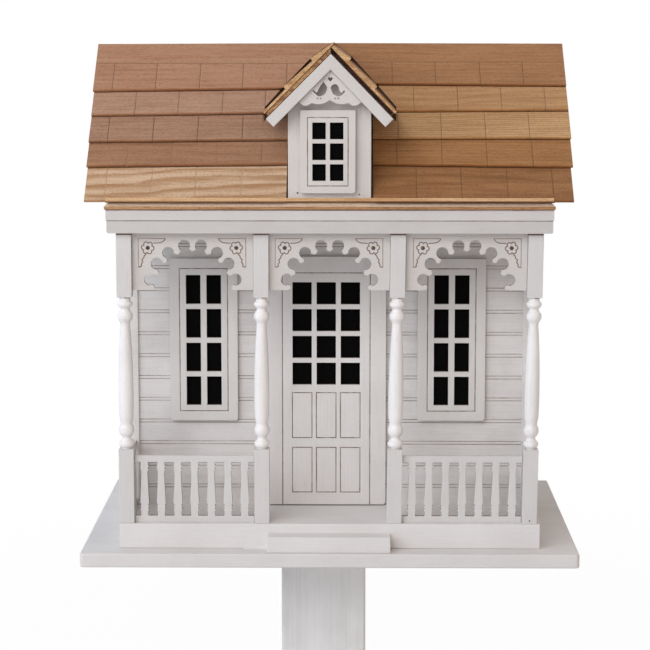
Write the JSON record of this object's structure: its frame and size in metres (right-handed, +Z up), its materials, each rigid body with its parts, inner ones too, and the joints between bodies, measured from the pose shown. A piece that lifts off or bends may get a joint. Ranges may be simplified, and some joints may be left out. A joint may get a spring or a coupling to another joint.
{
  "type": "birdhouse",
  "caption": "Cottage-style wooden birdhouse with a railed front porch, fretwork brackets, shingled gable roof and dormer, hinged clean-out hatch, on a post.",
  "frame": {"origin": "level of the mounting post's cut foot, under the middle of the base board", "axes": "+Z up, -Y towards the porch, +X to the right of someone who faces the porch"},
  "size_m": [0.356, 0.254, 0.4692],
  "materials": {
    "white_paint": "brushed white paint, matt, slightly uneven",
    "post_paint": "greyer white paint, matt",
    "black_card": "black card, matt",
    "left_shingle_wood": "bare thin board, pinkish brown, matt",
    "right_shingle_wood": "bare thin board, golden brown, matt",
    "pale_shingle_wood": "bare thin board, pale, matt",
    "plywood": "bare plywood, golden, matt",
    "steel": "plain wire pin",
    "brass": "brass wood screw, satin"
  },
  "bodies": {
    "house": {"mounting_post": "post_paint", "base_board": "white_paint", "floor_slab": "white_paint", "front_step": "white_paint", "front_wall": "white_paint", "left_wall": "white_paint", "right_wall": "white_paint", "rear_wall": "white_paint", "left_window_plate": "white_paint", "right_window_plate": "white_paint", "door_plate": "white_paint", "porch_post_1": "white_paint", "porch_post_2": "white_paint", "porch_post_3": "white_paint", "porch_post_4": "white_paint", "front_railing_left": "white_paint", "front_railing_right": "white_paint", "side_railing_left": "white_paint", "side_railing_right": "white_paint", "bracket_left": "white_paint", "bracket_centre": "white_paint", "bracket_right": "white_paint", "cornice": "white_paint", "gable_left": "white_paint", "gable_right": "white_paint", "dormer_front": "white_paint", "dormer_cheek_left": "white_paint", "dormer_cheek_right": "white_paint", "dormer_window_plate": "white_paint", "dormer_fretwork": "white_paint", "bargeboard_left": "white_paint", "bargeboard_right": "white_paint", "left_window_card": "black_card", "right_window_card": "black_card", "door_card": "black_card", "dormer_window_card": "black_card", "roof_plate": "plywood", "roof_panel_front": "plywood", "roof_panel_rear": "plywood", "eave_strip": "plywood", "dormer_roof_left": "plywood", "dormer_roof_right": "plywood", "shingle_left_1": "left_shingle_wood", "shingle_left_2": "left_shingle_wood", "shingle_left_3": "left_shingle_wood", "shingle_left_4": "left_shingle_wood", "shingle_left_5": "left_shingle_wood", "shingle_right_1": "right_shingle_wood", "shingle_right_2": "right_shingle_wood", "shingle_right_3": "right_shingle_wood", "shingle_right_4": "right_shingle_wood", "shingle_right_5": "right_shingle_wood", "rear_shingles": "pale_shingle_wood", "dormer_shingles_left": "pale_shingle_wood", "dormer_shingles_right": "pale_shingle_wood", "hatch_pin_left": "steel", "hatch_pin_right": "steel", "turn_button_screw": "brass"},
    "hatch": {"cleanout_hatch": "white_paint"},
    "turn_button": {"turn_button": "white_paint"}
  },
  "joints": [
    {"name": "cleanout_hatch_pivot", "type": "hinge", "parent": "house", "child": "hatch", "pos_m": [0, 0.107, 0.2618], "axis": [1, 0, 0], "range_deg": [0, 90]},
    {"name": "turn_button_turn", "type": "hinge", "parent": "house", "child": "turn_button", "pos_m": [0, 0.1118, 0.141], "axis": [0, 1, 0], "range_deg": [0, 90]}
  ]
}
